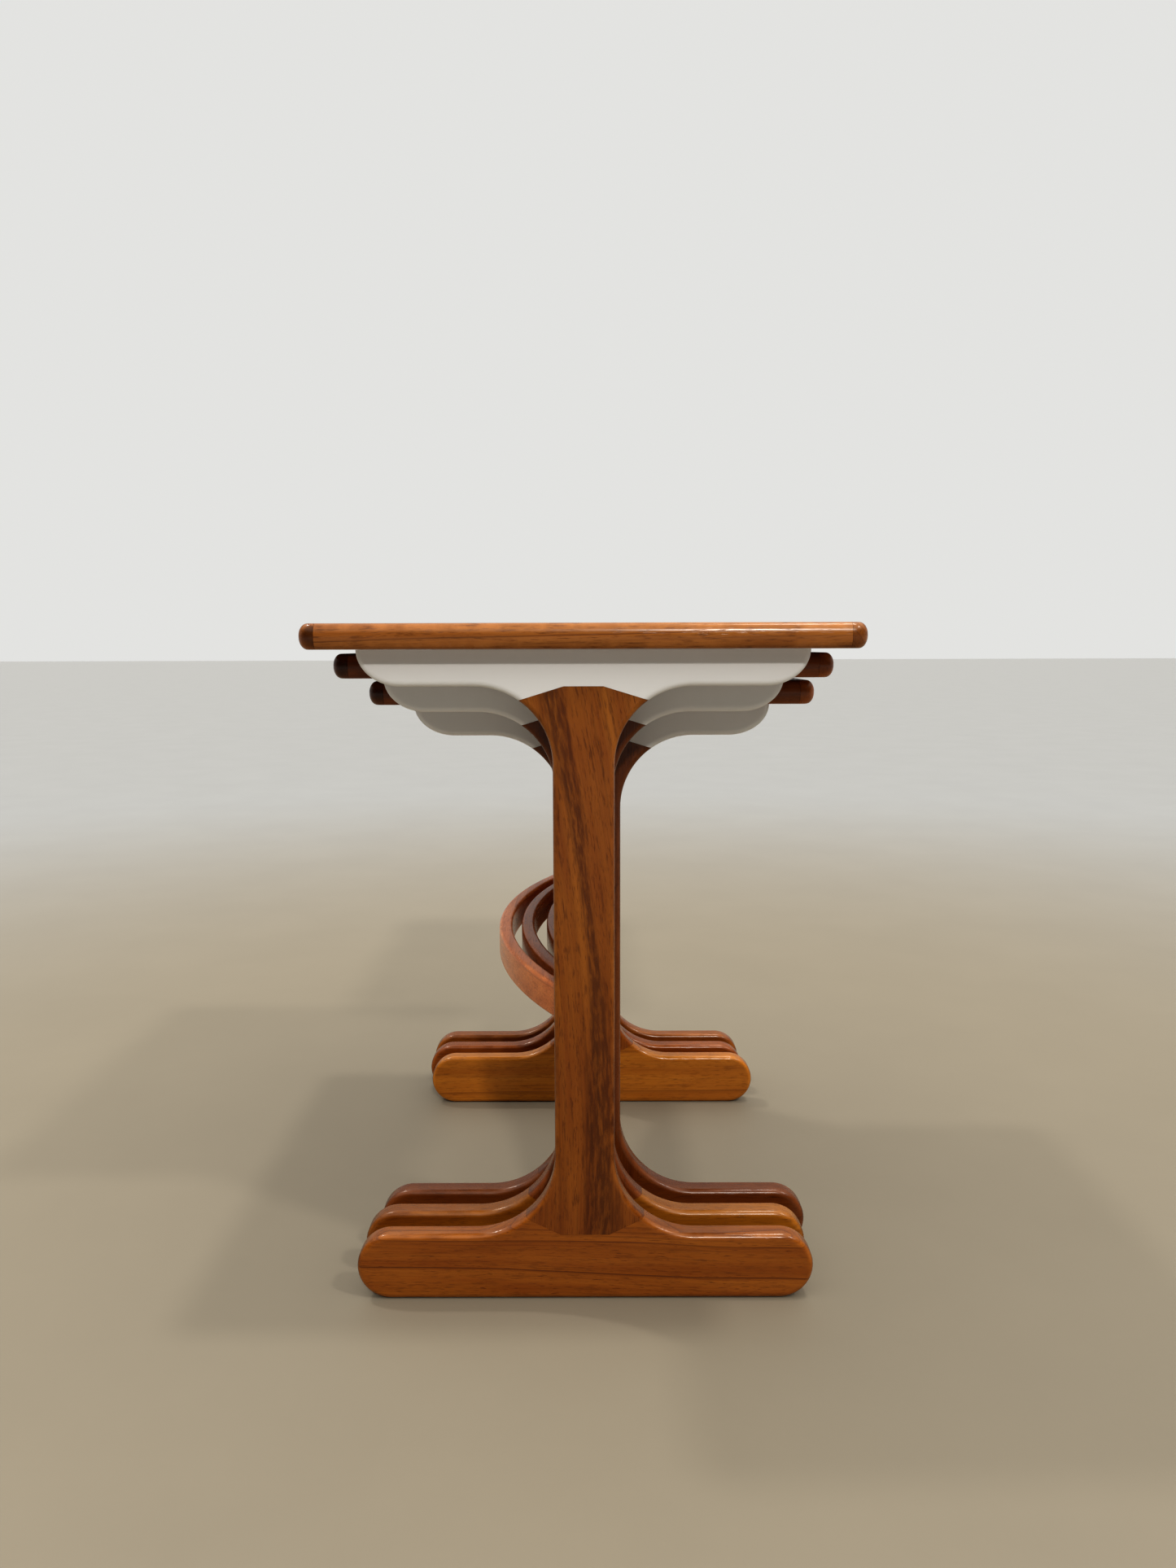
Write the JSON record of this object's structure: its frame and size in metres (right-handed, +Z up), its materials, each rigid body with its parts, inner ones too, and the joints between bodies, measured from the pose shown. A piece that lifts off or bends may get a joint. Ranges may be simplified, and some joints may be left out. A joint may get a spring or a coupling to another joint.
{
  "type": "nesting tables",
  "caption": "Nest of teak side tables with rounded tops, I-shaped end frames and bent stretchers; each smaller table slides out from under the larger.",
  "frame": {"origin": "on the floor, under the middle of the large table", "axes": "+X along the tables to the right-hand end frames, -Y to the front where the smaller tables slide out, +Z up"},
  "size_m": [0.512, 0.392, 0.5],
  "materials": {
    "teak_top": "oiled satin",
    "teak_lipping": "oiled satin",
    "teak_frame": "oiled satin",
    "teak_stretcher": "oiled satin",
    "beech_tenon": "raw",
    "screw_steel": "zinc plated"
  },
  "bodies": {
    "large_table": {"large_left_foot": "teak_frame", "large_left_post": "teak_frame", "large_left_bearer": "teak_frame", "large_left_foot_tenon": "beech_tenon", "large_left_bearer_tenon": "beech_tenon", "large_left_front_screw": "screw_steel", "large_left_rear_screw": "screw_steel", "large_right_foot": "teak_frame", "large_right_post": "teak_frame", "large_right_bearer": "teak_frame", "large_right_foot_tenon": "beech_tenon", "large_right_bearer_tenon": "beech_tenon", "large_right_front_screw": "screw_steel", "large_right_rear_screw": "screw_steel", "large_top_panel": "teak_top", "large_front_lipping": "teak_lipping", "large_rear_lipping": "teak_lipping", "large_left_lipping": "teak_lipping", "large_right_lipping": "teak_lipping", "large_stretcher": "teak_stretcher"},
    "medium_table": {"medium_left_foot": "teak_frame", "medium_left_post": "teak_frame", "medium_left_bearer": "teak_frame", "medium_left_foot_tenon": "beech_tenon", "medium_left_bearer_tenon": "beech_tenon", "medium_left_front_screw": "screw_steel", "medium_left_rear_screw": "screw_steel", "medium_right_foot": "teak_frame", "medium_right_post": "teak_frame", "medium_right_bearer": "teak_frame", "medium_right_foot_tenon": "beech_tenon", "medium_right_bearer_tenon": "beech_tenon", "medium_right_front_screw": "screw_steel", "medium_right_rear_screw": "screw_steel", "medium_top_panel": "teak_top", "medium_front_lipping": "teak_lipping", "medium_rear_lipping": "teak_lipping", "medium_left_lipping": "teak_lipping", "medium_right_lipping": "teak_lipping", "medium_stretcher": "teak_stretcher"},
    "small_table": {"small_left_foot": "teak_frame", "small_left_post": "teak_frame", "small_left_bearer": "teak_frame", "small_left_foot_tenon": "beech_tenon", "small_left_bearer_tenon": "beech_tenon", "small_left_front_screw": "screw_steel", "small_left_rear_screw": "screw_steel", "small_right_foot": "teak_frame", "small_right_post": "teak_frame", "small_right_bearer": "teak_frame", "small_right_foot_tenon": "beech_tenon", "small_right_bearer_tenon": "beech_tenon", "small_right_front_screw": "screw_steel", "small_right_rear_screw": "screw_steel", "small_top_panel": "teak_top", "small_front_lipping": "teak_lipping", "small_rear_lipping": "teak_lipping", "small_left_lipping": "teak_lipping", "small_right_lipping": "teak_lipping", "small_stretcher": "teak_stretcher"}
  },
  "joints": [
    {"name": "medium_slide", "type": "slide", "parent": "large_table", "child": "medium_table", "axis": [0, -1, 0], "range_m": [0, 0.4]},
    {"name": "small_slide", "type": "slide", "parent": "medium_table", "child": "small_table", "axis": [0, -1, 0], "range_m": [0, 0.37]}
  ]
}
